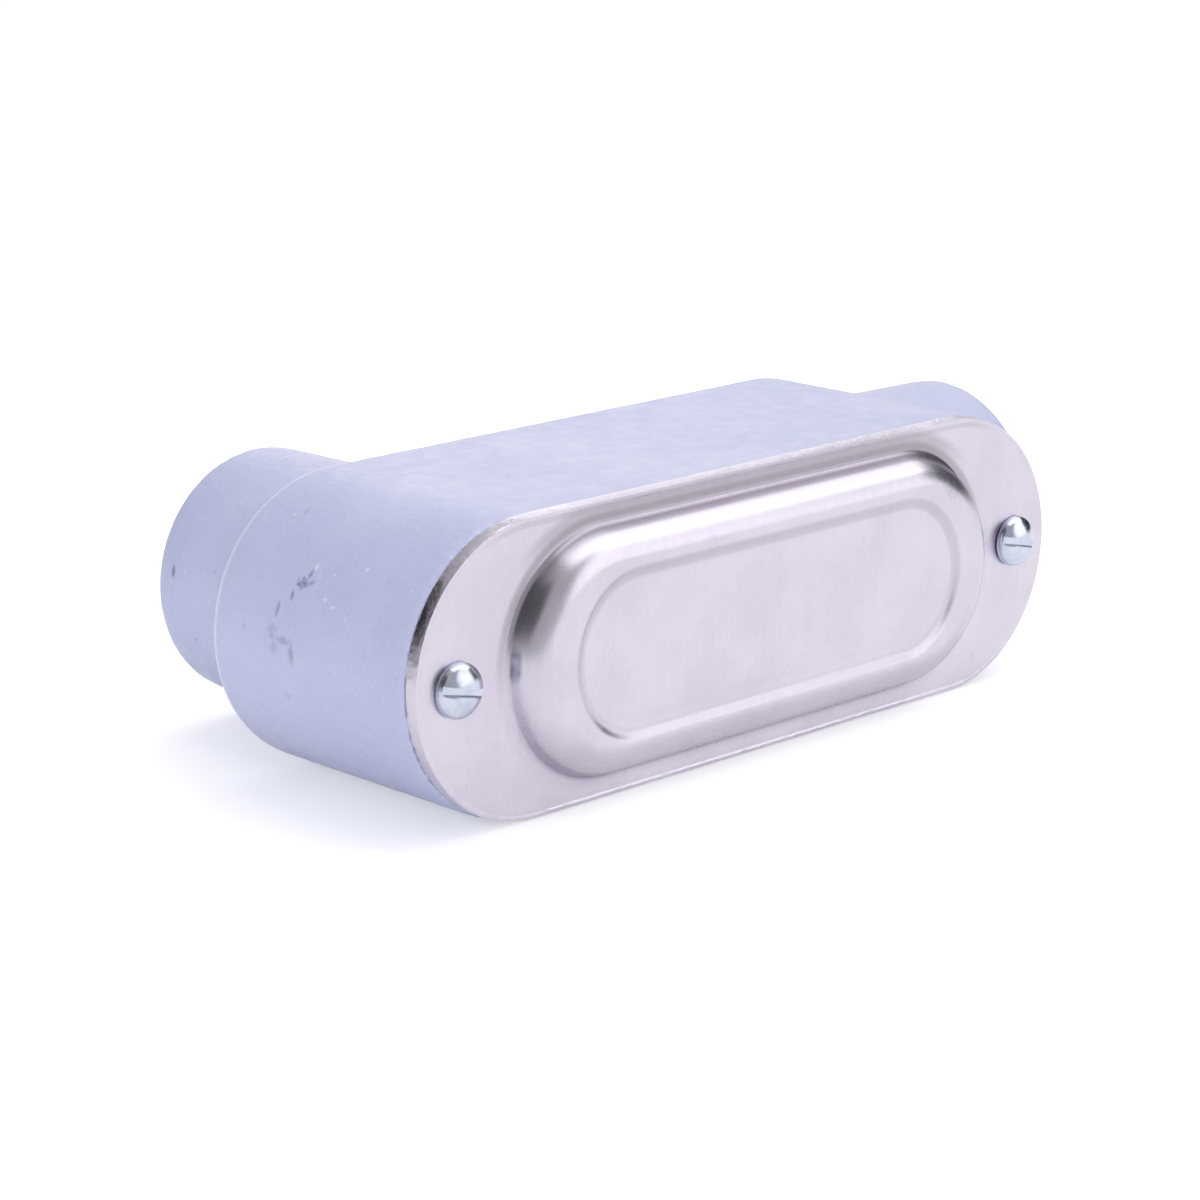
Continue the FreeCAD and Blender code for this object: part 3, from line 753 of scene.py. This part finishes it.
# Painted shade darkens the lower wall of each slot. One pattern serves both heads, wrapped from one to the
# other.
place = add_place(tree, coordinates)
wrap = tree.nodes.new("ShaderNodeMath")
wrap.operation = "WRAP"
tree.links.new(add_maths(tree, "ADD", place["X"], SCREW_X), wrap.inputs[0])
wrap.inputs[1].default_value = SCREW_X
wrap.inputs[2].default_value = -SCREW_X
across = add_maths(
    tree, "ADD",
    add_maths(tree, "MULTIPLY", wrap.outputs["Value"], math.sin(SLOT_TURN)),
    add_maths(tree, "MULTIPLY", place["Z"], math.cos(SLOT_TURN)),
)
away = add_maths(tree, "ABSOLUTE", add_maths(tree, "ADD", across, SLOT_WIDTH / 2 + 0.02))
crown = -SHEET - HEAD_HEIGHT
slot_shade = add_maths(
    tree, "MULTIPLY",
    add_range(tree, away, 0.08, 0.2, 0.7, 0),
    add_range(tree, place["Y"], crown + 0.1, crown + 0.35, 0, 1),
)
along = add_maths(tree, "ABSOLUTE", wrap.outputs["Value"])
inside_head = add_range(tree, along, HEAD_RADIUS - 0.7, HEAD_RADIUS - 0.2, 1, 0)
slot_shade = add_maths(tree, "MULTIPLY", slot_shade, inside_head)
tree.links.new(add_mix(tree, slot_shade, colour, SLOT_PAINTED_SHADE), shader.inputs["Base Color"])
tree.links.new(add_bump(tree, grain, 0.003), shader.inputs["Normal"])

head_profile = []
for step in range(1, HEAD_STEPS):
    angle = step * math.pi / (2 * HEAD_STEPS)
    rise = (HEAD_HEIGHT - HEAD_EDGE) * (1 - math.cos(angle))
    head_profile.append((rise, HEAD_RADIUS * math.sin(angle)))
head_profile += [
    (HEAD_HEIGHT - HEAD_EDGE, HEAD_RADIUS),
    (HEAD_HEIGHT - HEAD_UNDER_ROUNDING, HEAD_RADIUS),
    (HEAD_HEIGHT, HEAD_RADIUS - HEAD_UNDER_ROUNDING),
    (HEAD_HEIGHT + 0.01, SHANK_RADIUS),
    (HEAD_HEIGHT + SHANK_LENGTH - SHANK_CHAMFER, SHANK_RADIUS),
    (HEAD_HEIGHT + SHANK_LENGTH, SHANK_RADIUS - SHANK_CHAMFER),
]
for name, side in (("left_cover_screw", -1), ("right_cover_screw", 1)):
    screw = add_turned(f"{name}_turned", "Y", (side * SCREW_X, crown, 0), head_profile)
    bpy.ops.object.select_all(action="DESELECT")
    bpy.ops.mesh.primitive_cube_add(
        size=1,
        location=(side * SCREW_X, crown + (SLOT_DEPTH - CUT_MARGIN) / 2, 0),
        rotation=(0, SLOT_TURN, 0),
        scale=(10, SLOT_DEPTH + CUT_MARGIN, SLOT_WIDTH),
    )
    cut(screw, settle("slot"))
    use_modifier(
        screw, "BEVEL", width=0.09, segments=3, limit_method="ANGLE", angle_limit=math.radians(45),
    )
    bpy.ops.object.shade_smooth_by_angle(angle=math.radians(50))
    take_home(screw)
    screw.data.materials.clear()
    screw.data.materials.append(zinc)
    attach(screw, "root")
    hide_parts(name)

# The studio is a white floor in a bright room, with a soft box overhead and a weaker one at the left.
# Lamps and unlit corners in the room give the steel its light band and its two dark patches.
FLOOR_DROP = 0.06
FLOOR_WHITE = (0.86, 0.86, 0.87)
FLOOR_GLOW = 0.42
MIRRORED_SHARE = 0.65
ROOM_LEVEL = 0.53
ROOM_COLOUR = (0.97, 0.96, 1.0)

bpy.ops.object.select_all(action="DESELECT")
bpy.ops.mesh.primitive_plane_add(size=12, location=(0, 0, -FLOOR_DROP * MM))
floor = settle("studio_floor")
white, tree, shader, coordinates = new_material("studio_white", FLOOR_WHITE, 0.0, 0.8)
path = tree.nodes.new("ShaderNodeLightPath")
mirrored = add_maths(tree, "MULTIPLY", path.outputs["Is Glossy Ray"], MIRRORED_SHARE)
seen = add_maths(tree, "MAXIMUM", path.outputs["Is Camera Ray"], mirrored)
shader.inputs["Emission Color"].default_value = (1, 1, 1, 1)
tree.links.new(add_maths(tree, "MULTIPLY", seen, FLOOR_GLOW), shader.inputs["Emission Strength"])
floor.data.materials.append(white)

world = bpy.data.worlds.new("studio")
bpy.context.scene.world = world
world.use_nodes = True
tree = world.node_tree
background = tree.nodes["Background"]
direction = tree.nodes.new("ShaderNodeTexCoord").outputs["Generated"]


def add_patch(room, towards, inner, outer, level):
    """The room's light, made brighter or dimmer around a direction by a lamp or an unlit corner."""
    facing = tree.nodes.new("ShaderNodeVectorMath")
    facing.operation = "DOT_PRODUCT"
    tree.links.new(direction, facing.inputs[0])
    facing.inputs[1].default_value = Vector(towards).normalized()
    near = math.cos(math.radians(inner))
    far = math.cos(math.radians(outer))
    return add_maths(tree, "MULTIPLY", room, add_range(tree, facing.outputs["Value"], far, near, 1, level))


room = ROOM_LEVEL
for facing_way, inner, outer, level in (
    ((-0.78, -0.10, 0.62), 20, 31, 0.22),
    ((-0.98, 0.05, -0.02), 12, 24, 1.3),
    ((-0.45, 0.82, 0.35), 12, 28, 0),
    ((0.96, -0.06, 0.18), 24, 33, 0.06),
    ((0.62, -0.68, 0.34), 24, 36, 3.0),
    ((0.60, 0.76, 0.26), 8, 17, 2.9),
):
    room = add_patch(room, facing_way, inner, outer, level)
tree.links.new(room, background.inputs["Strength"])
background.inputs["Color"].default_value = (*ROOM_COLOUR, 1)


def add_softbox(name, location, size, energy, colour=(1, 1, 1)):
    """A square soft box aimed at the part."""
    bpy.ops.object.light_add(type="AREA", location=location)
    light = bpy.context.active_object
    light.name = name
    light.data.shape = "SQUARE"
    light.data.size = size
    light.data.energy = energy
    light.data.color = colour
    light.rotation_euler = (-Vector(location)).to_track_quat("-Z", "Y").to_euler()
    return light


add_softbox("overhead_box", (0.38, 0.04, 0.80), 1.1, 4.8)
left_box = add_softbox("left_box", (-0.78, -0.18, 0.26), 0.5, 2.5, (0.82, 0.88, 1.0))
left_box.visible_glossy = False

# The camera stands where the photographer did, to the left of the cover and a little above it.
# Its place and its long lens were worked out from the outlines that the photograph shows.
AIM = SEAT_MIDDLE + Vector((-8.68, 18.35, -0.94)) * MM
AZIMUTH = math.radians(-43.849)
ELEVATION = math.radians(15.108)
ROLL = math.radians(-0.296)
DISTANCE = 461.0 * MM
LENS = 104.22

bpy.ops.object.camera_add()
camera = bpy.context.active_object
camera.name = "camera"
towards = Vector((
    math.sin(AZIMUTH) * math.cos(ELEVATION),
    -math.cos(AZIMUTH) * math.cos(ELEVATION),
    math.sin(ELEVATION),
))
camera.location = AIM + towards * DISTANCE
aimed = (-towards).to_track_quat("-Z", "Y") @ Quaternion((0, 0, 1), ROLL)
camera.rotation_euler = aimed.to_euler()
camera.data.lens = LENS
camera.data.sensor_width = 36
camera.data.clip_start = 0.01
scene = bpy.context.scene
scene.camera = camera
scene.view_settings.view_transform = "Standard"
